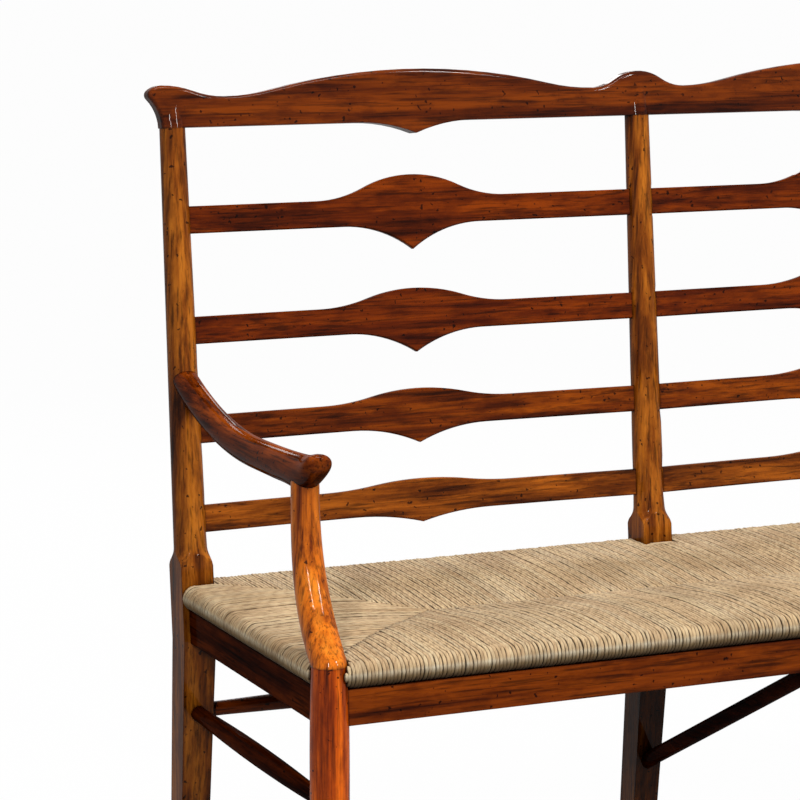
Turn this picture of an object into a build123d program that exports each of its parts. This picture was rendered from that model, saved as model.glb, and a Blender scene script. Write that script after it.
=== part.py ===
# A two-bay ladder-back bench with arms and a woven rush seat.
# Millimetres, +Z up, the sitter faces -Y, the floor is Z = 0 and X = 0 is the middle post.
import os
from math import cos, hypot, pi, radians, sin, sqrt, tan

from build123d import *

# Main sizes
bay_pitch = 630.0  # back post to back post
leg_depth = 427.0  # back leg to front leg, axis to axis
seat_height = 460.0  # top of the rush where it rolls over its rails
back_height = 1003.0  # underside of the crest rail at the posts
back_rake = 5.35  # lean of the back above the apron, degrees
leg_kick = 5.4  # backward kick of the rear legs below the apron, degrees

# Fits
fit_gap = 0.2  # room round a tenon in its mortise
head_gap = 0.4  # room round the head of an arm support in its arm
rush_gap = 0.4  # room between the rush and the wood it passes

# Back posts
post_width = 41.0
post_depth = 43.0
post_round_base = 40.4  # diameter where the turned part begins
post_round_top = 31.0  # diameter under the crest rail
tongue_rise = 12.0  # square block above the rush
tongue_length = 29.0  # the turned shoulder between square and round
rear_foot_width = 33.0
rear_foot_depth = 36.0
crest_tenon_diameter = 14.0
crest_tenon_length = 24.0

# Crest rail, heights are above its underside
crest_thickness = 22.0
crest_hump = 65.0  # over the middle of each bay
crest_dip = 36.5  # beside each post
crest_peak = 56.5  # over the middle post
crest_ear = 51.0  # top of the ears
ear_reach = 34.0  # ear tip beyond the axis of the end post
ear_tip_height = 39.0
ear_peak_reach = 14.0
ear_round = 7.0
dip_inset = 66.0  # dip to post axis
crest_point = 14.5  # pendant point under each bay
crest_point_reach = 76.0
crest_ease = 5.0

# Ladder slats, top to bottom
slat_shares = (0.2329, 0.4767, 0.6967, 0.8948)  # lower edge of the slat end, from crest (0) to rush (1)
slat_humps = (29.0, 20.5, 15.0, 9.5)
slat_points = (31.0, 26.5, 20.0, 12.0)
slat_end_height = 33.0
slat_thickness = 9.0
slat_bow = 15.0
slat_hump_reach = 128.0
slat_point_reach = 92.0
slat_end_inset = 5.0  # slat end to post axis
slat_ease = 1.5

# Front legs and arm supports
leg_foot_diameter = 31.0
leg_belly_diameter = 43.6
leg_belly_height = 345.0
leg_top_diameter = 39.6
leg_top_drop = 5.0  # top of the leg below the top of the rush
stub_diameter = 16.0
stub_length = 12.0
support_setback = 67.0
support_neck_diameter = 31.5
support_sweep = 2.8  # how early the support leans back
support_bite = 12.0  # the support's head reaches this far into the hollow under the arm

# Arms
arm_height = 210.0  # top of the arm above the rush
arm_thickness = 35.0
arm_width = 34.0
arm_root_width = 31.5
arm_rise_top = 53.0  # climb of the upper edge towards the post
arm_rise_under = 56.0
arm_rise_run = 250.0
arm_nose_reach = 46.0  # nose beyond the axis of its support
arm_nose_rise = 5.0  # climb of the upper edge towards the support
arm_tip_lift = 9.5  # climb from the support to the tip
arm_tip_height = 19.0  # depth of the nose at its tip, above the undercut
arm_tip_round = 12.0  # length over which the tip is rounded
arm_overlap = 8.0  # the arm is drawn this far past the post's axis, then cut to the post
arm_tenon_diameter = 14.0
arm_tenon_inset = 4.0  # tenon end to post axis

# Aprons, seat rails and rush
apron_height = 40.0
apron_thickness = 20.0
apron_tenon_thickness = 10.0
apron_tenon_height = 28.0
tenon_inset = 9.5  # apron and rail tenon ends to leg axis
front_apron_set = 14.0  # front face ahead of the front leg axis
side_apron_set = 12.5  # outer face beyond the leg axis
rail_width = 32.0
rail_thickness = 18.0
rail_edge = 7.0
rail_tenon_diameter = 13.0
rush_wrap = 6.0  # rush round a rail
rush_crown = 4.0  # swell of each woven panel
rush_seam = 3.0  # how deep the woven panels draw in where they meet

# Stretchers and brace
stretcher_end_diameter = 18.0
stretcher_swell_diameter = 24.0
stretcher_inset = 10.0  # stretcher end to leg axis
stretcher_straight = 32.0  # plain length at each end
back_stretcher_height = 297.0
side_stretcher_height = 299.0
low_stretcher_height = 150.0
front_stretcher_height = 215.0
brace_diameter = 20.5
brace_low_height = 153.0  # where the brace would meet the axis of the middle leg
brace_inset = 8.0
brace_bite = 1.0  # the brace meets the back of the apron this far above its lower edge
brace_seat = 0.6  # share of the apron's thickness that the brace runs under

# Levels and places that follow from the sizes
rake = radians(back_rake)
up_the_back = Vector(0, sin(rake), cos(rake))
rush_thickness = rail_thickness + 2 * rush_wrap
rush_bottom = seat_height - rush_thickness
apron_top = rush_bottom - rush_gap
apron_bottom = apron_top - apron_height
rail_level = rush_bottom + rush_thickness / 2
apron_level = apron_top - apron_height / 2
leg_top = seat_height - leg_top_drop
back_run = (back_height - apron_bottom) / cos(rake)
slat_runs = [back_run - share * (back_height - seat_height) / cos(rake) for share in slat_shares]
rush_reach = rail_width / 2 + rush_wrap
front_reach = max(rush_reach, leg_belly_diameter / 2)
crest_top_run = back_run + crest_hump - crest_ease
crest_back = (crest_thickness / 2 - crest_ease) * cos(rake) + crest_ease
back_reach = crest_top_run * sin(rake) + crest_back
y_back = (leg_depth + front_reach - back_reach) / 2
y_front = y_back - leg_depth
y_back_rail = y_back + (rail_level - apron_bottom) * tan(rake)
post_places = {"left": -bay_pitch, "centre": 0.0, "right": bay_pitch}
side_places = {"left": -bay_pitch, "right": bay_pitch}
bay_places = {"left": -bay_pitch / 2, "right": bay_pitch / 2}


def back_point(x, run):
    """Point on a post's axis, run along the raked back from the bend at the apron."""
    return Vector(x, y_back, apron_bottom) + up_the_back * run


def back_frame(x, run):
    """Plane square to the raked back: x along the bench, y to the rear, normal up the back."""
    return Plane(origin=back_point(x, run), x_dir=(1, 0, 0), z_dir=up_the_back)


def back_face(x, run):
    """Plane in the raked back: x along the bench, y up the back, normal to the front."""
    return Plane(origin=back_point(x, run), x_dir=(1, 0, 0), z_dir=(0, -cos(rake), sin(rake)))


def leg_y(z):
    """Depth of the rear leg's axis at height z, below the bend or above it."""
    if z < apron_bottom:
        return y_back + (apron_bottom - z) * tan(radians(leg_kick))
    return y_back + (z - apron_bottom) * tan(rake)


def save(piece, name):
    piece.label = name
    export_step(piece, f"parts/{name}.step")


def rod(start, end, diameter, grow=0.0):
    """Round bar between two points, or the hole that it needs when grown."""
    start = Vector(*start)
    along = Vector(*end) - start
    with BuildPart() as bar:
        with BuildSketch(Plane(origin=start - along.normalized() * grow, z_dir=along)):
            Circle(diameter / 2 + grow)
        extrude(amount=along.length + 2 * grow)
    return bar.part


def block(centre, size, grow=0.0):
    """Rectangular bar, or the hole that it needs when grown."""
    with BuildPart() as bar:
        with Locations(centre):
            Box(*(length + 2 * grow for length in size))
    return bar.part


def level_curve(start, end, share):
    """Two arcs that are level at both ends and meet at a share of the way between them."""
    meet = (start[0] + (end[0] - start[0]) * share, start[1] + (end[1] - start[1]) * share)
    first = TangentArc(start, meet, tangent=(1, 0))
    TangentArc(meet, end, tangent=first % 1)


# Blanks: posts and legs before they are mortised, which also shape the shoulders that meet them
def back_post_blank(x):
    corner = hypot(post_width, post_depth) / 2 + 1
    base = post_round_base / 2
    tongue_start = (seat_height + tongue_rise - apron_bottom) / cos(rake)
    tongue_end = tongue_start + tongue_length
    tongue_middle = ((corner + base) / 2, (tongue_start + tongue_end) / 2)
    tenon_top = back_run + crest_tenon_length
    with BuildPart() as blank:
        with BuildSketch(back_face(x, 0)):
            with BuildLine():
                Polyline((0, 0), (corner, 0), (corner, tongue_start))
                shoulder = TangentArc((corner, tongue_start), tongue_middle, tangent=(0, 1))
                TangentArc(tongue_middle, (base, tongue_end), tangent=shoulder % 1)
                Polyline(
                    (base, tongue_end),
                    (post_round_top / 2, back_run),
                    (crest_tenon_diameter / 2, back_run),
                    (crest_tenon_diameter / 2, tenon_top),
                    (0, tenon_top),
                    (0, 0),
                )
            make_face()
        revolve(axis=Axis(back_point(x, 0), up_the_back))
        with BuildSketch(back_frame(x, 0)):
            Rectangle(post_width, post_depth)
        extrude(amount=tenon_top, mode=Mode.INTERSECT)
        with BuildSketch(back_frame(x, 0)):
            Rectangle(post_width, post_depth)
        with BuildSketch(Plane((x, leg_y(0), 0))):
            Rectangle(rear_foot_width, rear_foot_depth)
        loft(ruled=True)
    return blank.part


def front_leg_blank(x):
    foot = (leg_foot_diameter / 2, 0)
    belly = (leg_belly_diameter / 2, leg_belly_height)
    top = (leg_top_diameter / 2, leg_top)
    stub_top = leg_top + stub_length
    with BuildPart() as blank:
        with BuildSketch(Plane(origin=(x, y_front, 0), x_dir=(1, 0, 0), z_dir=(0, -1, 0))):
            with BuildLine():
                TangentArc(belly, foot, tangent=(0, -1))
                TangentArc(belly, top, tangent=(0, 1))
                Polyline(top, (stub_diameter / 2, leg_top), (stub_diameter / 2, stub_top))
                Polyline((stub_diameter / 2, stub_top), (0, stub_top), (0, 0), foot)
            make_face()
        revolve(axis=Axis((x, y_front, 0), (0, 0, 1)))
    return blank.part


post_blanks = {name: back_post_blank(x) for name, x in post_places.items()}
leg_blanks = {name: front_leg_blank(x) for name, x in side_places.items()}


def bowed_strip(bay_x, low, high, grow=0.0):
    """Strip as thick as a slat and bowed to the rear, between two heights on the raked back."""
    half = bay_pitch / 2 - slat_end_inset + grow
    near = -slat_thickness / 2 - grow
    far = slat_thickness / 2 + grow
    with BuildPart() as strip:
        with BuildSketch(back_frame(bay_x, low)):
            with BuildLine():
                ThreePointArc((-half, near), (0, near + slat_bow), (half, near))
                Line((half, near), (half, far))
                ThreePointArc((half, far), (0, far + slat_bow), (-half, far))
                Line((-half, far), (-half, near))
            make_face()
        extrude(amount=high - low)
    return strip.part


# Tenons: the bar that runs through each member from mortise end to mortise end
def slat_band(bay_x, number, grow=0.0):
    """Bowed strip as thick as a slat and as high as its ends."""
    low = slat_runs[number] - grow
    return bowed_strip(bay_x, low, low + slat_end_height + 2 * grow, grow)


def back_apron_tenon(bay_x, grow=0.0):
    length = bay_pitch - 2 * tenon_inset
    size = (length, apron_tenon_thickness, apron_tenon_height)
    return block((bay_x, leg_y(apron_level), apron_level), size, grow)


def back_rail_tenon(bay_x, grow=0.0):
    half = bay_pitch / 2 - tenon_inset
    ends = [(bay_x + side * half, y_back_rail, rail_level) for side in (-1, 1)]
    return rod(*ends, rail_tenon_diameter, grow)


def back_stretcher_ends(bay_x):
    half = bay_pitch / 2 - stretcher_inset
    y = leg_y(back_stretcher_height)
    return [(bay_x + side * half, y, back_stretcher_height) for side in (-1, 1)]


def side_apron_x(x):
    """Middle of a side apron's thickness."""
    outward = 1 if x > 0 else -1
    return x + outward * (side_apron_set - apron_thickness / 2)


def side_apron_tenon(x, grow=0.0):
    start = y_front + tenon_inset
    end = leg_y(apron_level) - tenon_inset
    size = (apron_tenon_thickness, end - start, apron_tenon_height)
    return block((side_apron_x(x), (start + end) / 2, apron_level), size, grow)


def side_rail_tenon(x, grow=0.0):
    start = (x, y_front + tenon_inset, rail_level)
    end = (x, y_back_rail - tenon_inset, rail_level)
    return rod(start, end, rail_tenon_diameter, grow)


def side_stretcher_ends(x, height):
    return (x, y_front + stretcher_inset, height), (x, leg_y(height) - stretcher_inset, height)


y_front_apron = y_front - front_apron_set + apron_thickness / 2


def front_apron_tenon(grow=0.0):
    size = (2 * (bay_pitch - tenon_inset), apron_tenon_thickness, apron_tenon_height)
    return block((0, y_front_apron, apron_level), size, grow)


def front_rail_tenon(grow=0.0):
    half = bay_pitch - tenon_inset
    return rod((-half, y_front, rail_level), (half, y_front, rail_level), rail_tenon_diameter, grow)


def front_stretcher_ends():
    half = bay_pitch - stretcher_inset
    return [(side * half, y_front, front_stretcher_height) for side in (-1, 1)]


def stretcher_hole(ends):
    return rod(*ends, stretcher_end_diameter, fit_gap)


# Arm shape, measured forward from the axis of the end post
arm_top = seat_height + arm_height
arm_under = arm_top - arm_thickness
arm_root_level = arm_under + (arm_thickness + arm_rise_top + arm_rise_under) / 2
y_arm_root = leg_y(arm_root_level)
y_support = y_front + support_setback
support_top = arm_under + support_bite


def arm_section(y):
    """Lower edge, upper edge and width of the arm at depth y, behind its support."""
    climb = max(0.0, 1 - (y_arm_root - y) / arm_rise_run) ** 2.1
    along = min(1.0, (y_arm_root - y) / (y_arm_root - y_support))
    lift = arm_nose_rise * along**6
    width = arm_root_width + (arm_width - arm_root_width) * along
    return arm_under + arm_rise_under * climb, arm_top + arm_rise_top * climb + lift, width


def nose_section(share):
    """Lower edge, upper edge and width of the nose, undercut like a prow, from its support (0) to its tip (1)."""
    under, top, width = arm_section(y_support)
    undercut = under + (top + arm_tip_lift - arm_tip_height - under) * share**1.6
    top += arm_tip_lift * share**1.5
    rounding = max(0.0, 1 - (1 - share) * arm_nose_reach / arm_tip_round)
    round_off = sqrt(1 - rounding**2)
    middle, half = (undercut + top) / 2, (top - undercut) / 2 * round_off
    return middle - half, middle + half, width * round_off


def arm_middle(x, y):
    """Point on the arm's centre line at depth y."""
    under, top, _ = arm_section(y)
    return x, y, (under + top) / 2


def arm_tenon(x, grow=0.0):
    """Round tenon on the arm's own slope, from inside the post to inside the arm."""
    start = arm_middle(x, y_arm_root - arm_tenon_inset)
    end = arm_middle(x, y_arm_root - post_round_base)
    return rod(start, end, arm_tenon_diameter, grow)


def support_place(share):
    """Setback and height of the arm support's axis, from the leg top (0) to the arm (1)."""
    setback = support_setback * (1 - (1 - share) ** support_sweep)
    return y_front + setback, leg_top + (support_top - leg_top) * share


def support_shape(x, grow=0.0):
    """The swept-back support, round in section, thinning towards the arm, drawn through level ovals."""
    shares = (0.0, 0.1, 0.2, 0.32, 0.45, 0.6, 0.75, 0.88, 1.0)
    with BuildPart() as shape:
        for share in shares:
            y, z = support_place(share)
            lean = support_setback * support_sweep * (1 - share) ** (support_sweep - 1) / (support_top - leg_top)
            stretch = hypot(1, lean) if share else 1.0
            thinning = (1 - cos(pi * share)) / 2
            radius = (leg_top_diameter + (support_neck_diameter - leg_top_diameter) * thinning) / 2 + grow
            with BuildSketch(Plane((x, y, z))):
                Ellipse(radius, radius * stretch)
        loft()
    return shape.part


# The brace runs in the middle plane, from the middle leg up to the front apron
brace_y_high = y_front_apron + apron_thickness / 2
brace_high = Vector(0, brace_y_high, apron_bottom + brace_bite)
brace_low = Vector(0, leg_y(brace_low_height), brace_low_height)
brace_along = (brace_high - brace_low).normalized()


def brace_core(grow=0.0):
    start = brace_low + brace_along * brace_inset
    end = brace_high + brace_along * (apron_thickness * brace_seat)
    return rod(start, end, brace_diameter, grow)


def bay_mortises(bay_x):
    """Holes that the members of one bay need in the posts at its ends."""
    slats = [slat_band(bay_x, number, fit_gap) for number in range(len(slat_runs))]
    rails = [tenon(bay_x, fit_gap) for tenon in (back_apron_tenon, back_rail_tenon)]
    return slats + rails + [stretcher_hole(back_stretcher_ends(bay_x))]


def side_mortises(x):
    """Holes that the members of one end need in its post and its leg."""
    heights = (side_stretcher_height, low_stretcher_height)
    stretchers = [stretcher_hole(side_stretcher_ends(x, height)) for height in heights]
    return stretchers + [side_apron_tenon(x, fit_gap), side_rail_tenon(x, fit_gap)]


def build_posts():
    mortises = {name: bay_mortises(x) for name, x in bay_places.items()}
    holes = {
        "left": mortises["left"] + side_mortises(-bay_pitch) + [arm_tenon(-bay_pitch, fit_gap)],
        "centre": mortises["left"] + mortises["right"] + [brace_core(fit_gap)],
        "right": mortises["right"] + side_mortises(bay_pitch) + [arm_tenon(bay_pitch, fit_gap)],
    }
    for name in post_places:
        with BuildPart() as post:
            add(post_blanks[name])
            for hole in holes[name]:
                add(hole, mode=Mode.SUBTRACT)
        save(post.part, f"{name}_back_post")


def build_crest():
    end = -bay_pitch
    middle = -bay_pitch / 2
    ear_peak = (end - ear_peak_reach, crest_ear)
    ear_tip = (end - ear_reach, ear_tip_height)
    ear_foot = (end - post_round_top / 2, 0)
    outer_dip = (end + dip_inset, crest_dip)
    inner_dip = (-dip_inset, crest_dip)
    hump = (middle, crest_hump)
    point = (middle, -crest_point)
    point_start = (middle - crest_point_reach, 0)
    point_end = (middle + crest_point_reach, 0)
    with BuildPart() as crest:
        with BuildSketch(back_face(0, back_run).offset(-crest_thickness / 2)) as outline:
            with BuildLine():
                Line(ear_foot, point_start)
                TangentArc(point_start, point, tangent=(1, 0))
                TangentArc(point_end, point, tangent=(-1, 0))
                Line(point_end, (0, 0))
                TangentArc(ear_foot, ear_tip, tangent=(0, 1))
                TangentArc(ear_peak, ear_tip, tangent=(-1, 0))
                level_curve(ear_peak, outer_dip, 0.5)
                level_curve(outer_dip, hump, 0.25)
                level_curve(hump, inner_dip, 0.75)
                level_curve(inner_dip, (0, crest_peak), 0.5)
                mirror(about=Plane.YZ)
            make_face()
            tips = outline.vertices().sort_by(Axis.X)
            fillet((tips[0], tips[-1]), ear_round)
        extrude(amount=crest_thickness)
        underside = back_point(0, back_run).dot(up_the_back)
        upper = crest.edges().filter_by(lambda edge: abs((edge @ 0 - edge @ 1).X) > crest_ease)
        upper = upper.filter_by(lambda edge: edge.center().dot(up_the_back) > underside + crest_ease)
        fillet(upper, crest_ease)
        for x, height in ((-bay_pitch, crest_dip), (0, crest_peak), (bay_pitch, crest_dip)):
            with BuildSketch(back_frame(x, back_run)):
                Circle(post_round_top / 2)
            with BuildSketch(back_frame(x, back_run + height - crest_ease)):
                Circle(crest_thickness / 2 - 0.5)
            loft()
        for x in post_places.values():
            tenon_ends = [back_point(x, back_run + run) for run in (0, crest_tenon_length)]
            add(rod(*tenon_ends, crest_tenon_diameter, fit_gap), mode=Mode.SUBTRACT)
    save(crest.part, "crest_rail")


def build_slat(bay, number):
    bay_x = bay_places[bay]
    half = bay_pitch / 2 - slat_end_inset
    hump = slat_humps[number]
    point = slat_points[number]
    run = slat_runs[number]
    with BuildPart() as slat:
        add(bowed_strip(bay_x, run - point, run + slat_end_height + hump))
        with BuildSketch(back_face(bay_x, run)):
            with BuildLine():
                Line((-half, 0), (-slat_point_reach, 0))
                TangentArc((-slat_point_reach, 0), (0, -point), tangent=(1, 0))
                Line((-half, 0), (-half, slat_end_height))
                Line((-half, slat_end_height), (-slat_hump_reach, slat_end_height))
                level_curve((-slat_hump_reach, slat_end_height), (0, slat_end_height + hump), 0.5)
                mirror(about=Plane.YZ)
            make_face()
        extrude(amount=slat_bow + slat_thickness, both=True, mode=Mode.INTERSECT)
        long_edges = slat.edges().filter_by(lambda edge: edge.length > slat_thickness * 1.5)
        chamfer(long_edges.filter_by(lambda edge: abs((edge @ 0 - edge @ 1).X) > 1), slat_ease)
    save(slat.part, f"{bay}_slat_{number + 1}")


def build_front_leg(side):
    x = side_places[side]
    holes = side_mortises(x) + [front_apron_tenon(fit_gap), front_rail_tenon(fit_gap)]
    holes.append(stretcher_hole(front_stretcher_ends()))
    with BuildPart() as leg:
        add(leg_blanks[side])
        for hole in holes:
            add(hole, mode=Mode.SUBTRACT)
    save(leg.part, f"{side}_front_leg")


def arm_shape(x):
    """The arm, oval in section, from inside the post to its nose."""
    steps = 12
    reach = y_arm_root + arm_overlap - y_support
    sections = []
    for step in range(steps):
        y = y_support + reach * (1 - step / steps)
        sections.append((y, *arm_section(y)))
    for share in (0.0, 0.25, 0.5, 0.7, 0.84, 0.93, 0.98, 0.998):
        sections.append((y_support - arm_nose_reach * share, *nose_section(share)))
    with BuildPart() as shape:
        for y, under, top, width in sections:
            with BuildSketch(Plane(origin=(x, y, (under + top) / 2), x_dir=(1, 0, 0), z_dir=(0, -1, 0))):
                Ellipse(width / 2, (top - under) / 2)
        loft()
    return shape.part


def build_arm(side):
    """The arm, tenoned into its post and socketed over its support, and the support."""
    x = side_places[side]
    head_foot = (x, y_support, arm_under - support_bite)
    head = rod(head_foot, (x, y_support, support_top), support_neck_diameter, head_gap)
    stub = rod((x, y_front, leg_top), (x, y_front, leg_top + stub_length), stub_diameter, fit_gap)
    with BuildPart() as arm:
        add(arm_shape(x))
        add(post_blanks[side], mode=Mode.SUBTRACT)
        add(arm_tenon(x))
        add(head, mode=Mode.SUBTRACT)
    save(arm.part, f"{side}_arm")
    with BuildPart() as support:
        add(support_shape(x))
        add(stub, mode=Mode.SUBTRACT)
    save(support.part, f"{side}_arm_support")


def rail_bar(start, end, across, grow=0.0):
    """Seat rail with rounded edges between two points; across is its wide direction."""
    along = Vector(*end) - Vector(*start)
    with BuildPart() as bar:
        with BuildSketch(Plane(origin=start, x_dir=across, z_dir=along)):
            RectangleRounded(rail_width + 2 * grow, rail_thickness + 2 * grow, rail_edge + grow)
        extrude(amount=along.length)
    return bar.part


def front_rail_bar(grow=0.0):
    return rail_bar((-bay_pitch, y_front, rail_level), (bay_pitch, y_front, rail_level), (0, 1, 0), grow)


def side_rail_bar(x, grow=0.0):
    return rail_bar((x, y_front, rail_level), (x, y_back_rail, rail_level), (1, 0, 0), grow)


def back_rail_bar(bay_x, grow=0.0):
    ends = [(bay_x + side * bay_pitch / 2, y_back_rail, rail_level) for side in (-1, 1)]
    return rail_bar(*ends, (0, 1, 0), grow)


def build_front_rails():
    """The front apron and the hidden rail above it; returns the apron, which the brace is cut to."""
    with BuildPart() as front_apron:
        with Locations((0, y_front_apron, apron_level)):
            Box(2 * bay_pitch, apron_thickness, apron_height)
        for blank in leg_blanks.values():
            add(blank, mode=Mode.SUBTRACT)
        add(front_apron_tenon())
    save(front_apron.part, "front_apron")
    with BuildPart() as front_rail:
        add(front_rail_bar())
        for blank in leg_blanks.values():
            add(blank, mode=Mode.SUBTRACT)
        add(front_rail_tenon())
    save(front_rail.part, "front_seat_rail")
    return front_apron.part


def build_side_rails(side):
    x = side_places[side]
    with BuildPart() as side_apron:
        with Locations((side_apron_x(x), (y_front + y_back) / 2, apron_level)):
            Box(apron_thickness, leg_depth, apron_height)
        add(leg_blanks[side], mode=Mode.SUBTRACT)
        add(post_blanks[side], mode=Mode.SUBTRACT)
        add(side_apron_tenon(x))
    save(side_apron.part, f"{side}_side_apron")
    with BuildPart() as side_rail:
        add(side_rail_bar(x))
        add(front_rail_bar(fit_gap), mode=Mode.SUBTRACT)
        add(leg_blanks[side], mode=Mode.SUBTRACT)
        add(post_blanks[side], mode=Mode.SUBTRACT)
        add(side_rail_tenon(x))
    save(side_rail.part, f"{side}_seat_rail")


def build_back_rails(bay):
    bay_x = bay_places[bay]
    with BuildPart() as back_apron:
        with Locations((bay_x, leg_y(apron_level), apron_level)):
            Box(bay_pitch, apron_thickness, apron_height)
        for blank in post_blanks.values():
            add(blank, mode=Mode.SUBTRACT)
        add(back_apron_tenon(bay_x))
    save(back_apron.part, f"{bay}_back_apron")
    with BuildPart() as back_rail:
        add(back_rail_bar(bay_x))
        for blank in post_blanks.values():
            add(blank, mode=Mode.SUBTRACT)
        add(back_rail_tenon(bay_x))
    save(back_rail.part, f"{bay}_back_seat_rail")


def rolled_edge(edge, inward):
    """Two quarter arcs round the rolled edge of the rush; inward is 1 or -1."""
    side = (edge, rush_bottom + rush_thickness / 2)
    inner = edge + inward * rush_thickness / 2
    TangentArc(side, (inner, rush_bottom), tangent=(0, -1))
    TangentArc(side, (inner, seat_height), tangent=(0, 1))


def build_rush():
    """One woven panel: rolled edges, four swelling fields and the drawn-in lines between them."""
    roll = rush_thickness / 2
    x_end = bay_pitch + rush_reach
    y_near = y_front - rush_reach
    y_far = y_back_rail + rush_reach
    y_middle = (y_near + y_far) / 2
    half_depth = (y_far - y_near) / 2
    x_apex = x_end - half_depth
    crown = seat_height + rush_crown
    plateau = crown + rush_crown / 4
    seam_level = seat_height + rush_crown / 2
    with BuildPart() as rush:
        with BuildSketch(Plane(origin=(-x_end, 0, 0), x_dir=(0, 1, 0), z_dir=(1, 0, 0))):
            with BuildLine():
                rolled_edge(y_near, 1)
                rolled_edge(y_far, -1)
                Line((y_near + roll, rush_bottom), (y_far - roll, rush_bottom))
                for edge in (y_near + roll, y_far - roll):
                    swell = ((edge + y_middle) / 2, crown)
                    ThreePointArc((edge, seat_height), swell, (y_middle, seam_level))
            make_face()
        extrude(amount=2 * x_end)
        with BuildSketch(Plane(origin=(0, y_far, 0), x_dir=(1, 0, 0), z_dir=(0, -1, 0))):
            with BuildLine():
                rolled_edge(-x_end, 1)
                rolled_edge(x_end, -1)
                Line((roll - x_end, rush_bottom), (x_end - roll, rush_bottom))
                for way in (-1, 1):
                    edge = way * (x_end - roll)
                    swell = ((edge + way * x_apex) / 2, crown)
                    ThreePointArc((edge, seat_height), swell, (way * x_apex, plateau))
                Line((-x_apex, plateau), (x_apex, plateau))
            make_face()
        extrude(amount=2 * half_depth, mode=Mode.INTERSECT)
        for way in (-1, 1):
            apex = (way * x_apex, y_middle, seam_level)
            for y_corner in (y_near, y_far):
                corner = (way * x_end, y_corner, seam_level)
                add(rod(corner, apex, 2 * rush_seam), mode=Mode.SUBTRACT)
        apexes = [(way * x_apex, y_middle, seam_level) for way in (-1, 1)]
        add(rod(*apexes, 2 * rush_seam), mode=Mode.SUBTRACT)
        post_half = post_width / 2 + rush_gap
        post_face = leg_y(rush_bottom) - post_depth / 2 / cos(rake) - rush_gap
        leg_half = leg_belly_diameter / 2 + rush_gap
        deep = 2 * rush_thickness
        for x in side_places.values():
            way = 1 if x > 0 else -1
            outer = x + way * 2 * rush_reach
            for inner, y_start, y_stop in (
                (x - way * leg_half, y_near - roll, y_front + leg_half),
                (x - way * post_half, post_face, y_far + roll),
            ):
                centre = ((inner + outer) / 2, (y_start + y_stop) / 2, rail_level)
                notch = block(centre, (abs(outer - inner), y_stop - y_start, deep))
                add(notch, mode=Mode.SUBTRACT)
            add(support_shape(x, rush_gap), mode=Mode.SUBTRACT)
        centre = (0, (post_face + y_far + roll) / 2, rail_level)
        add(block(centre, (2 * post_half, y_far + roll - post_face, deep)), mode=Mode.SUBTRACT)
        add(front_rail_bar(rush_gap), mode=Mode.SUBTRACT)
        for x in side_places.values():
            add(side_rail_bar(x, rush_gap), mode=Mode.SUBTRACT)
        for bay_x in bay_places.values():
            add(back_rail_bar(bay_x, rush_gap), mode=Mode.SUBTRACT)
    save(rush.part, "rush_seat")


def build_stretcher(name, ends):
    """Turned bar, plain at its ends and swelling to its middle."""
    start = Vector(*ends[0])
    along = Vector(*ends[1]) - start
    length = along.length
    thin = stretcher_end_diameter / 2
    with BuildPart() as stretcher:
        with BuildSketch(Plane(origin=start, x_dir=along, z_dir=along.cross(Vector(0, 0, 1)))):
            with BuildLine():
                swell = (length / 2, stretcher_swell_diameter / 2)
                ThreePointArc((stretcher_straight, thin), swell, (length - stretcher_straight, thin))
                Polyline((length - stretcher_straight, thin), (length, thin), (length, 0), (0, 0))
                Polyline((0, 0), (0, thin), (stretcher_straight, thin))
            make_face()
        revolve(axis=Axis(start, along))
    save(stretcher.part, name)


def build_brace(front_apron):
    with BuildPart() as brace:
        add(brace_core())
        add(front_apron, mode=Mode.SUBTRACT)
    save(brace.part, "centre_brace")


os.makedirs("parts", exist_ok=True)
build_posts()
build_crest()
for bay in bay_places:
    for number in range(len(slat_runs)):
        build_slat(bay, number)
    build_back_rails(bay)
    build_stretcher(f"{bay}_back_stretcher", back_stretcher_ends(bay_places[bay]))
for side, x in side_places.items():
    build_front_leg(side)
    build_arm(side)
    build_side_rails(side)
    build_stretcher(f"{side}_side_stretcher", side_stretcher_ends(x, side_stretcher_height))
    build_stretcher(f"{side}_low_stretcher", side_stretcher_ends(x, low_stretcher_height))
build_stretcher("front_stretcher", front_stretcher_ends())
build_brace(build_front_rails())
build_rush()
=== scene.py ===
import math
import random

import bpy
import numpy as np
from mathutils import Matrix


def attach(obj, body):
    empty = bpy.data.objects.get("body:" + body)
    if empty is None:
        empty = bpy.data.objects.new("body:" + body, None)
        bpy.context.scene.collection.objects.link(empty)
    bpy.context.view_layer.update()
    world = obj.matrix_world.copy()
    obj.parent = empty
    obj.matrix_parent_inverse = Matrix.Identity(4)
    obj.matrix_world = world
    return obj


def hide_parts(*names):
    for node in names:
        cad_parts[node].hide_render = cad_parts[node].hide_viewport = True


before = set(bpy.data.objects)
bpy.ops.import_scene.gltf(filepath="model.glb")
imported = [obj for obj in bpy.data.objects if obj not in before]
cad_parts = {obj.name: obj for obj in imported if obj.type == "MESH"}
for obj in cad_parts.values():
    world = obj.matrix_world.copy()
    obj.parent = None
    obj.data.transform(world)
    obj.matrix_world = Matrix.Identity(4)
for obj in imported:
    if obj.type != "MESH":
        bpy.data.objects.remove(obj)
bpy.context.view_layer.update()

# Seat sizes in metres, the same as the rush solid and the wood it passes
SEAT_TOP = 0.460
SEAT_UNDER = 0.430
ROLL = (SEAT_TOP - SEAT_UNDER) / 2
X_END = 0.652
Y_NEAR = -0.2615
Y_FAR = 0.2147
LEG_AXIS_X, LEG_AXIS_Y = 0.630, -0.2395
LEG_RADIUS = 0.0203  # at the height of the rush
LEG_X = 0.6078  # where the front legs stop the front cords
LEG_Y = -0.2173  # where the front legs stop the side cords
POST_X = 0.6091  # inner faces of the end posts
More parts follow.
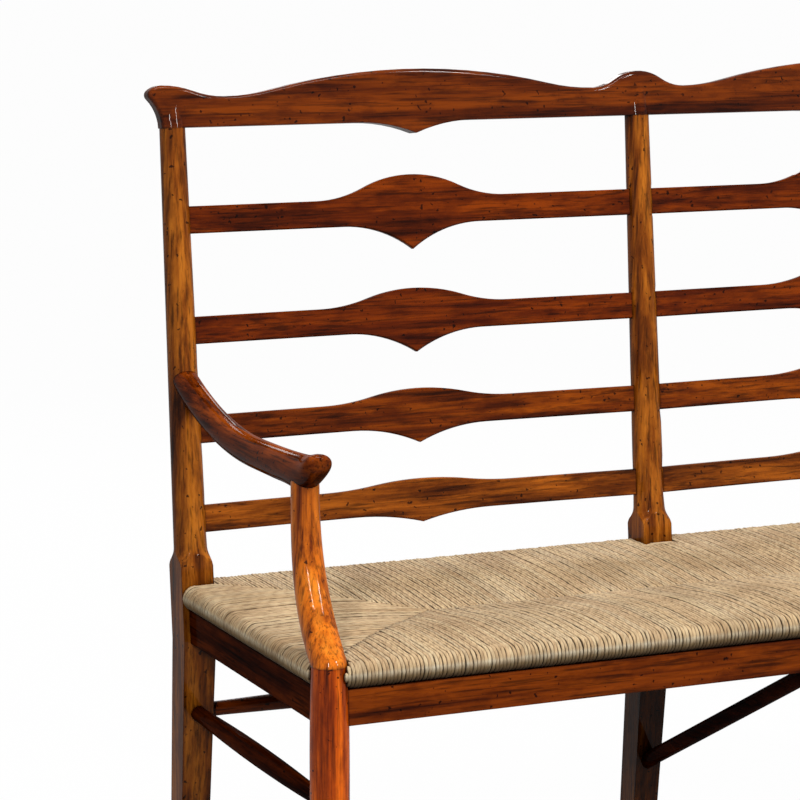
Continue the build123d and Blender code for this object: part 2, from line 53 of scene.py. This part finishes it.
POST_Y = 0.1690  # front faces of the back posts
MIDDLE_POST = 0.0209  # half the width of the middle post, with room
Y_MIDDLE = (LEG_Y + POST_Y) / 2

# Cords and the fields they make, in metres
CORD_SPACING = 0.0045
CORD_WIDE = 0.0024  # half width, a little over half the spacing
CORD_HIGH = 0.0022  # half height
CORD_SIDES = 8
CORD_STEP = 0.011  # between two rings of a cord's upper run
CORD_END = 0.55  # share of the width that a cord's two ends keep
SWAY, SWAY_RATE = 0.00035, 95.0  # to the sides, and in radians for each metre
LAY, LAY_RATE = 0.09, 240.0  # swelling of the plies as a share, and in radians for each metre
TOP_ROOM = 0.001  # from the highest cords to the seat's top
TUCK_RUN, TUCK_DROP = 0.002, 0.009  # where a cord's inner end goes down between its neighbours
VALLEY = 0.0085  # how far the fields draw in at the middle line
CROWN_REACH = 0.8  # share of a field over which it stands full
FRONT_CROWN, BACK_CROWN, SIDE_CROWN = 0.0042, 0.0008, 0.0018
LEG_TURNS = (0.0199, 0.0157, 0.0115)  # short turns beside a front leg, from its axis
LEG_ROOM, SHORTEST_TURN = 0.001, 0.0042
POST_ROOM = 0.009  # where cords turn down before the middle post
POST_TUCK = ((0.005, 0.4545), (0.004, 0.446), (0.004, 0.436))  # from the post's face, and height

# Pattern sizes in millimetres, for the wood across the grain and along it
GRAIN = (17.54, 404.9)  # the broadest streaks, with finer ones inside them
PORES = (3.401, 78.49)  # far coarser than real pores, which would not show
GLAZE_PATCHES = (21.28, 64.81)
SCRATCHES = (30.3, 99.6)  # from one to the next
SPECKS = 7.692  # from one to the next
CORD_TWIST = 16.13  # one turn of the two plies
RUSH_FIBRE = 32.47  # length of a leaf's streaks
GAP_SHADE_BREAKS = 13.33  # length of the strokes of painted shade between two cords
RUSH_AGEING = 90.91  # patches that have yellowed differently

# Depths of the finish on wood and rush, and reaches of the edge darkening and of the painted shade
# in corners, in metres
EDGE_DARKENING = 0.004
CORNER_SHADE = 0.03
EDGE_ROUND = 0.0016
WOOD_RELIEF = 0.0006
RUSH_RELIEF = 0.0009

MULTIPLY = {"data_type": "RGBA", "blend_type": "MULTIPLY"}
PLAIN_MIX = {"data_type": "RGBA", "blend_type": "MIX"}
FULL_TURN = 2 * math.pi


def colour(code):
    """A linear colour with alpha from an sRGB hex code, or an even grey from a share of one."""
    if isinstance(code, float):
        return (code, code, code, 1.0)
    values = [int(code[i : i + 2], 16) / 255 for i in (1, 3, 5)]
    linear = [v / 12.92 if v <= 0.04045 else ((v + 0.055) / 1.055) ** 2.4 for v in values]
    return (*linear, 1.0)


def per_metre(size):
    """How often a pattern of a size in millimetres comes in a metre."""
    return 1000.0 / size


def with_grain(size, along):
    """The same on X, Y and Z for a size across the grain and along it."""
    across, lengthways = size
    return tuple(per_metre(lengthways if axis == along else across) for axis in "XYZ")


def add_node(tree, kind, settings=None, links=None):
    """Adds a shader node with its settings and links.

    A link is a value, another node's output, or a node that stands for its first output.
    Stops are the places and tones of a ramp.
    """
    node = tree.nodes.new("ShaderNode" + kind)
    for name, value in (settings or {}).items():
        if name != "stops":
            setattr(node, name, value)
            continue
        elements = node.color_ramp.elements
        while len(elements) < len(value):
            elements.new(1.0)
        for element, (place, tone) in zip(elements, value):
            element.position = place
            element.color = colour(tone)
    for name, value in (links or {}).items():
        if isinstance(value, bpy.types.Node):
            value = value.outputs[0]
        if isinstance(value, bpy.types.NodeSocket):
            tree.links.new(value, node.inputs[name])
        else:
            node.inputs[name].default_value = value
    return node


def stained_and_shaded(tree, base, pattern, stops, share):
    """A colour under a tone that follows a pattern; it lays real stains and glaze, and painted
    shade too.
    """
    laid_tone = add_node(tree, "ValToRGB", {"stops": stops}, {"Fac": pattern})
    return add_node(tree, "Mix", MULTIPLY, {0: share, 6: base, 7: laid_tone}).outputs[2]


def new_material(name):
    material = bpy.data.materials.new(name)
    material.use_nodes = True
    material.node_tree.nodes.clear()
    return material, material.node_tree


def walnut(name, along, pale, middle, deep, seed, gloss):
    """Walnut under a dark glaze: long streaks, pores and small dents under a polished coat, darker
    along the edges, with painted shade in its corners.
    """
    material, tree = new_material(name)
    place = add_node(tree, "TexCoord").outputs["Object"]

    # Long streaks, from another stretch of the figure for each seed
    grain_place = add_node(
        tree,
        "Mapping",
        links={
            "Vector": place,
            "Scale": with_grain(GRAIN, along),
            "Location": (seed * 1.9, seed * 3.23, seed * 1.14),
        },
    )
    grain_fineness = {"Scale": 1.0, "Detail": 9.0, "Roughness": 0.66, "Distortion": 0.2}
    grain = add_node(tree, "TexNoise", links={"Vector": grain_place, **grain_fineness})
    streaks = [(0.33, deep), (0.46, middle), (0.62, pale)]
    figure = add_node(tree, "ValToRGB", {"stops": streaks}, {"Fac": grain})

    # Fine dark pores run with the grain
    pore_scale = with_grain(PORES, along)
    pore_place = add_node(tree, "Mapping", links={"Vector": place, "Scale": pore_scale})
    pore_fineness = {"Scale": 1.0, "Detail": 3.0, "Roughness": 0.6}
    pores = add_node(tree, "TexNoise", links={"Vector": pore_place, **pore_fineness})
    figure = stained_and_shaded(tree, figure, pores, [(0.34, 0.3), (0.5, 1.0)], 0.9)

    # Broad patches where the glaze lies thicker
    patch_place = add_node(
        tree,
        "Mapping",
        links={
            "Vector": place,
            "Scale": with_grain(GLAZE_PATCHES, along),
            "Location": (seed, seed * 1.7, seed * 0.6),
        },
    )
    patch_fineness = {"Scale": 1.0, "Detail": 5.0, "Roughness": 0.65}
    patches = add_node(tree, "TexNoise", links={"Vector": patch_place, **patch_fineness})
    figure = stained_and_shaded(tree, figure, patches, [(0.38, "#84604c"), (0.54, 1.0)], 0.55)

    # Small ragged specks that hold dark glaze, most of them too small to see
    speck_scale = per_metre(SPECKS)
    ragged = add_node(
        tree, "TexNoise", links={"Vector": place, "Scale": speck_scale, "Detail": 2.0}
    )
    speck_place = add_node(
        tree, "Mix", PLAIN_MIX, {0: 0.012, 6: place, 7: ragged.outputs["Color"]}
    ).outputs[2]
    cells = add_node(tree, "TexVoronoi", links={"Vector": speck_place, "Scale": speck_scale})
    cell_draw = add_node(tree, "SeparateColor", links={"Color": cells.outputs["Color"]})
    mostly_small = add_node(tree, "Math", {"operation": "POWER"}, {0: cell_draw, 1: 2.2})
    speck_size = add_node(tree, "Math", {"operation": "MULTIPLY"}, {0: mostly_small, 1: 0.25})
    speck_rim = add_node(
        tree,
        "Math",
        {"operation": "SUBTRACT"},
        {0: cells.outputs["Distance"], 1: speck_size},
    )
    speck_stops = [(0.0, 0.08), (0.05, 1.0)]
    speck_tone = add_node(tree, "ValToRGB", {"stops": speck_stops}, {"Fac": speck_rim})
    figure = add_node(tree, "Mix", MULTIPLY, {0: 0.9, 6: figure, 7: speck_tone}).outputs[2]

    # Longer scratches, a little aslant
    scratch_place = add_node(
        tree,
        "Mapping",
        links={
            "Vector": speck_place,
            "Scale": with_grain(SCRATCHES, along),
            "Rotation": (0.3, 0.2, 0.25),
        },
    )
    scratches = add_node(tree, "TexVoronoi", links={"Vector": scratch_place, "Scale": 1.0})
    figure = stained_and_shaded(
        tree, figure, scratches.outputs["Distance"], [(0.035, 0.2), (0.075, 1.0)], 0.7
    )

    # Darker along every edge, within a few millimetres of it, and painted shade in the corners
    # where members meet
    true_normal = add_node(tree, "NewGeometry").outputs["Normal"]
    edge_normal = add_node(tree, "Bevel", {"samples": 4}, {"Radius": EDGE_DARKENING})
    edge = add_node(
        tree, "VectorMath", {"operation": "DOT_PRODUCT"}, {0: true_normal, 1: edge_normal}
    ).outputs["Value"]
    figure = stained_and_shaded(tree, figure, edge, [(0.75, "#5c4032"), (0.97, 1.0)], 0.75)
    # Painted shade: occlusion darkens the corners where members meet, together with the glaze that
    # gathers there.
    corner_shade = add_node(tree, "AmbientOcclusion", {"samples": 4}, {"Distance": CORNER_SHADE})
    figure = stained_and_shaded(tree, figure, corner_shade.outputs["AO"], [(0.2, "#2a150b"), (0.9, 1.0)], 0.85)

    # The polish: pale streaks are smoother, specks and pores dip a little, edges are eased
    polish = add_node(tree, "ValToRGB", {"stops": [(0.3, 0.34), (0.7, 0.24)]}, {"Fac": grain})
    relief = add_node(
        tree, "Math", {"operation": "MULTIPLY_ADD"}, {0: pores, 1: 0.3, 2: speck_tone}
    )
    bump = add_node(
        tree, "Bump", links={"Strength": 0.25, "Distance": WOOD_RELIEF, "Height": relief}
    )
    eased = add_node(tree, "Bevel", {"samples": 4}, {"Radius": EDGE_ROUND, "Normal": bump})
    shader = add_node(
        tree,
        "BsdfPrincipled",
        links={
            "Base Color": figure,
            "Roughness": polish,
            "Normal": eased,
            "Specular IOR Level": 0.0,
            "Coat Weight": gloss,
            "Coat IOR": 1.33,
            "Coat Roughness": 0.06,
        },
    )
    add_node(tree, "OutputMaterial", links={"Surface": shader})
    return material


def rush(name):
    """Twisted rush cord: pale straw with grey and olive leaves, painted shade between cords, and
    matt.
    """
    material, tree = new_material(name)
    laid = add_node(tree, "UVMap", {"uv_map": "cord"})
    parts = add_node(tree, "SeparateXYZ", links={"Vector": laid})
    tone = add_node(tree, "Attribute", {"attribute_name": "tone"}).outputs["Fac"]
    place = add_node(tree, "TexCoord").outputs["Object"]

    # The leaves wind round the cord: across is a share of the way round, along is in metres
    across, along = parts.outputs[0], parts.outputs[1]
    plies = add_node(tree, "Math", {"operation": "MULTIPLY"}, {0: across, 1: 2.0})
    wound = add_node(
        tree,
        "Math",
        {"operation": "MULTIPLY_ADD"},
        {0: along, 1: per_metre(CORD_TWIST), 2: plies},
    )
    twist = add_node(tree, "Math", {"operation": "MULTIPLY_ADD"}, {0: tone, 1: 7.0, 2: wound})
    turned = add_node(tree, "Math", {"operation": "MULTIPLY"}, {0: twist, 1: FULL_TURN})
    wave = add_node(tree, "Math", {"operation": "SINE"}, {0: turned})
    ply = add_node(tree, "Math", {"operation": "MULTIPLY_ADD"}, {0: wave, 1: 0.5, 2: 0.5})

    # Streaks in each leaf, and the strokes of painted shade along a cord's sides, other ones on
    # each cord
    streak_places = {}
    for pattern, factors in {
        "fibre": ((twist, 6.6), (along, per_metre(RUSH_FIBRE)), (tone, 88.0)),
        "stroke": ((along, per_metre(GAP_SHADE_BREAKS)), (across, 1.0), (tone, 90.0)),
    }.items():
        scaled = [
            add_node(tree, "Math", {"operation": "MULTIPLY"}, {0: measure, 1: factor})
            for measure, factor in factors
        ]
        streak_places[pattern] = add_node(tree, "CombineXYZ", links=dict(enumerate(scaled)))
    fibre_fineness = {"Scale": 1.0, "Detail": 5.0, "Roughness": 0.7}
    fibre = add_node(
        tree, "TexNoise", links={"Vector": streak_places["fibre"], **fibre_fineness}
    )
    strokes = add_node(
        tree, "TexNoise", links={"Vector": streak_places["stroke"], "Scale": 1.0, "Detail": 2.0}
    )

    # Every cord has a straw tone of its own
    straw_tones = [
        (0.0, "#b6a488"),
        (0.25, "#c2af92"),
        (0.5, "#cab99b"),
        (0.75, "#bfb29a"),
        (1.0, "#cfc2a6"),
    ]
    straw = add_node(tree, "ValToRGB", {"stops": straw_tones}, {"Fac": tone})
    straw = stained_and_shaded(tree, straw, fibre, [(0.30, "#7d5c3e"), (0.41, 0.85), (0.6, 1.0)], 0.6)
    # Painted shade in the grooves where the plies dip between each other
    straw = stained_and_shaded(tree, straw, ply, [(0.0, "#8a6a42"), (0.35, 0.95), (0.6, 1.0)], 0.25)

    # Painted shade: dark lines where neighbouring cords meet at their sides, broken into strokes
    round_cord = add_node(tree, "Math", {"operation": "MULTIPLY"}, {0: across, 1: FULL_TURN})
    sideways = add_node(tree, "Math", {"operation": "COSINE"}, {0: round_cord})
    beside = add_node(tree, "Math", {"operation": "ABSOLUTE"}, {0: sideways})
    broken = add_node(
        tree, "ValToRGB", {"stops": [(0.34, 0.75), (0.6, 1.12)]}, {"Fac": strokes}
    )
    beside = add_node(tree, "Math", {"operation": "MULTIPLY"}, {0: beside, 1: broken})
    straw = stained_and_shaded(tree, straw, beside, [(0.58, 1.0), (0.98, "#4b3721")], 0.9)

    # Warmer on top, greyer over the roll, and painted shade where the roll turns under
    height = add_node(tree, "SeparateXYZ", links={"Vector": place}).outputs[2]
    level = add_node(
        tree,
        "MapRange",
        links={"Value": height, "From Min": SEAT_UNDER, "From Max": SEAT_TOP},
    )
    height_tints_and_shade = [(0.05, "#4a3a28"), (0.34, "#b4a48e"), (0.55, 1.0), (0.66, "#f6e8d6")]
    straw = stained_and_shaded(tree, straw, level, height_tints_and_shade, 1.0)
    age = add_node(
        tree, "TexNoise", links={"Vector": place, "Scale": per_metre(RUSH_AGEING), "Detail": 3.0}
    )
    straw = stained_and_shaded(tree, straw, age, [(0.36, "#d2c8bc"), (0.6, 1.0)], 0.6)

    ply_relief = add_node(tree, "Math", {"operation": "MULTIPLY"}, {0: ply, 1: 0.5})
    relief = add_node(
        tree, "Math", {"operation": "MULTIPLY_ADD"}, {0: fibre, 1: 1.1, 2: ply_relief}
    )
    bump = add_node(
        tree, "Bump", links={"Strength": 0.8, "Distance": RUSH_RELIEF, "Height": relief}
    )
    shader = add_node(
        tree,
        "BsdfPrincipled",
        links={
            "Base Color": straw,
            "Roughness": 0.75,
            "Normal": bump,
            "Specular IOR Level": 0.2,
        },
    )
    add_node(tree, "OutputMaterial", links={"Surface": shader})
    return material


# Wood for each group of members: way of the grain, pale, middle and deep streaks, seed, gloss
# The tones hold painted light and shade besides the walnut's own colour: each group is paler or
# darker as the light falls on it, the sides darkest and the front legs and supports palest.
WOOD_AND_LIGHT_TONES = {
    "crest": ("X", "#6e2e03", "#4c1a01", "#1f0601", 3.1, 0.3),
    "slats_1": ("X", "#793002", "#531b01", "#230600", 11.7, 0.24),
    "slats_2": ("X", "#772f02", "#521a01", "#210601", 12.9, 0.24),
    "slats_3": ("X", "#873e05", "#5e2402", "#270b01", 14.3, 0.24),
    "slats_4": ("X", "#a65914", "#723708", "#331303", 15.8, 0.24),
    "posts": ("Z", "#aa6219", "#773b0a", "#351403", 5.3, 0.26),
    "supports": ("Z", "#df8020", "#d06a12", "#722d06", 4.4, 0.4),
    "front_legs": ("Z", "#f37110", "#b74805", "#5c1a02", 8.9, 0.36),
    "arms": ("Y", "#843a0a", "#5b2204", "#270a01", 2.4, 0.15),
    "aprons": ("X", "#893c07", "#682904", "#350f02", 7.7, 0.16),
    "sides": ("Y", "#5f2506", "#411502", "#1d0601", 6.2, 0.02),
}
WOODS_WITH_PAINTED_LIGHT = {group: walnut("walnut_" + group, *tones) for group, tones in WOOD_AND_LIGHT_TONES.items()}


def wood_for(node):
    """The wood of a member, whose grain runs along it, in its group's tones with painted light and
    shade.
    """
    if node == "crest_rail":
        return WOODS_WITH_PAINTED_LIGHT["crest"]
    if "slat" in node:
        return WOODS_WITH_PAINTED_LIGHT["slats_" + node[-1]]
    for ending, group in (
        ("back_post", "posts"),
        ("arm_support", "supports"),
        ("front_leg", "front_legs"),
        ("_arm", "arms"),
    ):
        if node.endswith(ending):
            return WOODS_WITH_PAINTED_LIGHT[group]
    if node in ("front_apron", "front_seat_rail", "front_stretcher") or "_back_" in node:
        return WOODS_WITH_PAINTED_LIGHT["aprons"]
    return WOODS_WITH_PAINTED_LIGHT["sides"]


for node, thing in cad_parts.items():
    if node != "rush_seat":
        thing.data.materials.clear()
        thing.data.materials.append(wood_for(node))

# The rush seat: every cord runs over a rail, from the drawn-in line on top to the one below
chance = random.Random(41)


def sag(share, crown):
    """Height of a field over its rail's top, from the rail (0) to where it draws in (1)."""
    rise = crown * math.sin(math.pi * min(1.0, share / CROWN_REACH)) ** 0.9
    return rise - VALLEY * share**2.6


def cord_path(length, crown):
    """Run and height of a cord's middle, from its inner end over the roll and back underneath."""
    top = SEAT_TOP - CORD_HIGH - TOP_ROOM
    under = SEAT_UNDER + CORD_HIGH
    turn = ROLL - CORD_HIGH
    depth = Y_MIDDLE - Y_NEAR - ROLL
    points = [(length, top - TUCK_DROP)]
    steps = max(5, round((length - ROLL) / CORD_STEP))
    for step in range(steps):
        run = ROLL + (length - TUCK_RUN - ROLL) * (1 - step / steps)
        points.append((run, top + sag(min(1.0, (run - ROLL) / depth), crown)))
    for step in range(9):
        angle = math.pi * step / 8
        height = (top + under) / 2 + turn * math.cos(angle)
        points.append((ROLL - turn * math.sin(angle), height))
    for step in range(1, 6):
        points.append((ROLL + (length - ROLL) * step / 5, under))
    return points


class Cords:
    """Gathers closed cord tubes into one mesh with the share round, the length along and a tone."""

    def __init__(self):
        self.places, self.faces, self.laid, self.tones = [], [], [], []

    def add(self, path, side, wide, high):
        """A tube along a path of points; side is the level direction across it."""
        base = len(self.places)
        tone = chance.random()
        phase = chance.uniform(0, 6.28)
        along = [0.0]
        points = [np.array(p, float) for p in path]
        for a, b in zip(points, points[1:]):
            along.append(along[-1] + float(np.linalg.norm(b - a)))
        side = np.array(side, float)
        last = len(points) - 1
        for i, point in enumerate(points):
            ahead = points[min(i + 1, last)] - points[max(i - 1, 0)]
            ahead /= np.linalg.norm(ahead)
            up = np.cross(side, ahead)
            up /= np.linalg.norm(up)
            shift = side * (SWAY * math.sin(along[i] * SWAY_RATE + phase))
            end = CORD_END if i in (0, last) else 1.0
            for k in range(CORD_SIDES):
                turn = FULL_TURN * k / CORD_SIDES
                lay = 1 + LAY * math.sin(2 * turn + along[i] * LAY_RATE + phase)
                out = side * wide * math.cos(turn) + up * high * math.sin(turn)
                self.places.append(point + shift + end * lay * out)
                self.tones.append(tone)
        for i in range(last):
            here, ahead = base + i * CORD_SIDES, base + (i + 1) * CORD_SIDES
            for k in range(CORD_SIDES):
                n = (k + 1) % CORD_SIDES
                self.faces.append((here + k, here + n, ahead + n, ahead + k))
                u0, u1 = k / CORD_SIDES, (k + 1) / CORD_SIDES
                v0, v1 = along[i], along[i + 1]
                self.laid += [(u0, v0), (u1, v0), (u1, v1), (u0, v1)]
        for start, order in ((base, -1), (base + last * CORD_SIDES, 1)):
            ring = [start + k for k in range(CORD_SIDES)][::order]
            self.faces.append(tuple(ring))
            self.laid += [((v - start) / CORD_SIDES, 0.0) for v in ring]

    def finish(self, name, material):
        """The gathered cords as one piece of the seat."""
        mesh = bpy.data.meshes.new(name)
        mesh.from_pydata([tuple(p) for p in self.places], [], self.faces)
        mesh.materials.append(material)
        layer = mesh.uv_layers.new(name="cord")
        layer.data.foreach_set("uv", np.array(self.laid, "f").ravel())
        tones = mesh.attributes.new("tone", "FLOAT", "POINT")
        tones.data.foreach_set("value", np.array(self.tones, "f"))
        mesh.polygons.foreach_set("use_smooth", [True] * len(mesh.polygons))
        mesh.update()
        piece = bpy.data.objects.new(name, mesh)
        bpy.context.collection.objects.link(piece)
        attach(piece, "root")
        return piece


def spaced(start, end):
    """Places of cords laid side by side between two stops, each a little off."""
    count = int((end - start) / CORD_SPACING)
    gap = (end - start) / count
    return [start + gap * (i + 0.5) + chance.uniform(-0.0003, 0.0003) for i in range(count)]


def sized():
    """Half width and half height of one cord, which differ from cord to cord."""
    return CORD_WIDE * chance.uniform(0.92, 1.12), CORD_HIGH * chance.uniform(0.88, 1.0)


def lifted(lift, height):
    """Only the upper run of a cord takes its own small lift."""
    return height + lift if height > SEAT_TOP - ROLL else height


def leg_turn(offset):
    """A short turn over the roll that stops at a front leg's curve, offset from the leg's axis."""
    room = X_END - LEG_AXIS_X - math.sqrt(LEG_RADIUS**2 - offset**2) - LEG_ROOM
    turn = ROLL - CORD_HIGH
    middle = (SEAT_TOP + SEAT_UNDER) / 2
    angles = [math.pi * i / 16 for i in range(17)]
    arc = [(ROLL - turn * math.sin(angle), middle + turn * math.cos(angle)) for angle in angles]
    return [(run, height) for run, height in arc if run < max(room, SHORTEST_TURN)]


rush_straw = rush("rush_straw")

front_cords = Cords()
for x in spaced(-LEG_X, LEG_X):
    stop = min(Y_MIDDLE, LEG_Y + LEG_X - abs(x))
    lift = chance.uniform(-0.0003, 0.0005)
    path = cord_path(stop - Y_NEAR, FRONT_CROWN)
    points = [(x, Y_NEAR + run, lifted(lift, height)) for run, height in path]
    front_cords.add(points, (1, 0, 0), *sized())
for offset in LEG_TURNS:
    for way in (-1, 1):
        x = way * (LEG_AXIS_X - offset)
        turns = [(x, Y_NEAR + run, height) for run, height in leg_turn(offset)]
        front_cords.add(turns, (1, 0, 0), *sized())
front_field = front_cords.finish("rush_front_field", rush_straw)

back_cords = Cords()
for x in spaced(-POST_X, POST_X):
    stop = max(Y_MIDDLE, POST_Y - (POST_X - abs(x)))
    lift = chance.uniform(-0.0003, 0.0005)
    path = cord_path(Y_FAR - stop, BACK_CROWN)
    points = [(x, Y_FAR - run, lifted(lift, height)) for run, height in path]
    if abs(x) < MIDDLE_POST + CORD_WIDE:
        # The middle post stands in the way, so the cord goes down in front of it
        turn_down = next(i for i, point in enumerate(points) if point[1] > POST_Y - POST_ROOM)
        points = points[:turn_down] + [(x, POST_Y - room, height) for room, height in POST_TUCK]
    back_cords.add(points, (-1, 0, 0), *sized())
for row in range(2):
    # Turns that run sideways in front of the middle post
    half = 0.028 - 0.005 * row
    y = POST_Y - 0.0035 - 0.0036 * row
    shares = np.linspace(-1, 1, 13)
    arch = [(half * t, y - 0.002 * t * t, 0.4575 - 0.005 * abs(t) ** 4) for t in shares]
    back_cords.add(arch, (0, -1, 0), *sized())
back_field = back_cords.finish("rush_back_field", rush_straw)

side_fields = []
for way, side_name in ((-1, "left"), (1, "right")):
    side_cords = Cords()
    for y in spaced(LEG_Y, POST_Y):
        stop = max(LEG_X - (y - LEG_Y), POST_X - (POST_Y - y))
        lift = chance.uniform(-0.0005, 0.0007)
        path = cord_path(X_END - stop, SIDE_CROWN)
        points = [(way * (X_END - run), y, lifted(lift, height)) for run, height in path]
        side_cords.add(points, (0, way, 0), *sized())
    for offset in LEG_TURNS:
        y = LEG_AXIS_Y + offset
        turns = [(way * (X_END - run), y, height) for run, height in leg_turn(offset)]
        side_cords.add(turns, (0, way, 0), *sized())
    side_fields.append(side_cords.finish(f"rush_{side_name}_field", rush_straw))

for field in (front_field, back_field, *side_fields):
    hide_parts("rush_seat")

# White studio: floor and world are white to the eye, and dull to the light, so that the
# underside of the bench stays dark
WHITE = colour("#ffffff")
bpy.ops.mesh.primitive_plane_add(size=300.0, location=(0, 0, 0))
floor = bpy.context.object
floor.name = "studio_floor"


def seen_directly(tree):
    """One for rays from the eye, and for those seen in gloss and through glass."""
    rays = add_node(tree, "LightPath").outputs
    seen = add_node(
        tree,
        "Math",
        {"operation": "MAXIMUM"},
        {0: rays["Is Camera Ray"], 1: rays["Is Glossy Ray"]},
    )
    return add_node(
        tree, "Math", {"operation": "MAXIMUM"}, {0: seen, 1: rays["Is Transmission Ray"]}
    )


# Matt white paper that glows to the eye and keeps a trace of the bench's shadow
floor_paper, tree = new_material("studio_white")
seen = seen_directly(tree)
paper_tones = {0: seen, 6: colour("#626260"), 7: colour("#e4e4e2")}
paper = add_node(tree, "Mix", PLAIN_MIX, paper_tones).outputs[2]
matt = add_node(tree, "BsdfDiffuse", links={"Color": paper})
glow = add_node(tree, "Emission", links={"Color": WHITE, "Strength": 1.0})
glow_share = add_node(tree, "Math", {"operation": "MULTIPLY"}, {0: seen, 1: 0.98})
surface = add_node(tree, "MixShader", links={0: glow_share, 1: matt, 2: glow})
add_node(tree, "OutputMaterial", links={"Surface": surface})
floor.data.materials.append(floor_paper)

world = bpy.data.worlds.new("studio")
bpy.context.scene.world = world
world.use_nodes = True
tree = world.node_tree
tree.nodes.clear()
dim = add_node(tree, "Background", links={"Color": WHITE, "Strength": 0.07})
white = add_node(tree, "Background", links={"Color": WHITE, "Strength": 1.0})
sky = add_node(tree, "MixShader", links={0: seen_directly(tree), 1: dim, 2: white})
add_node(tree, "OutputWorld", links={"Surface": sky})


def softbox(name, place, aim, size, watts):
    """A rectangular soft lamp that points at a place on the bench."""
    lamp = bpy.data.lights.new(name, "AREA")
    lamp.shape = "RECTANGLE"
    lamp.size, lamp.size_y = size
    lamp.energy = watts
    holder = bpy.data.objects.new(name, lamp)
    bpy.context.collection.objects.link(holder)
    holder.location = place
    x, y, z = np.array(aim, float) - np.array(place, float)
    tilt = math.pi / 2 + math.atan2(z, math.hypot(x, y))
    holder.rotation_euler = (tilt, 0, math.atan2(-x, y))


softbox("key_softbox", (1.5, -3.0, 3.0), (0, 0, 0.6), (0.3, 1.3), 120)
softbox("top_softbox", (-0.3, -0.5, 3.0), (0, 0, 0.5), (1.6, 0.4), 50)
softbox("left_strip", (-2.3, -2.7, 2.3), (-0.4, 0, 0.6), (0.14, 1.4), 84)
softbox("back_softbox", (0.7, 3.4, 2.3), (0, 0.1, 0.6), (1.8, 1.0), 60)

# The photograph's camera, found from its straight edges
camera_data = bpy.data.cameras.new("camera")
camera_data.sensor_width = 36.0
camera_data.lens = 130.76
camera = bpy.data.objects.new("camera", camera_data)
bpy.context.collection.objects.link(camera)
camera.location = (-1.79323, -3.0495, 1.22973)
camera.rotation_euler = (math.radians(80.93), 0.0, math.radians(-23.92))
bpy.context.scene.camera = camera
bpy.context.scene.view_settings.view_transform = "Standard"
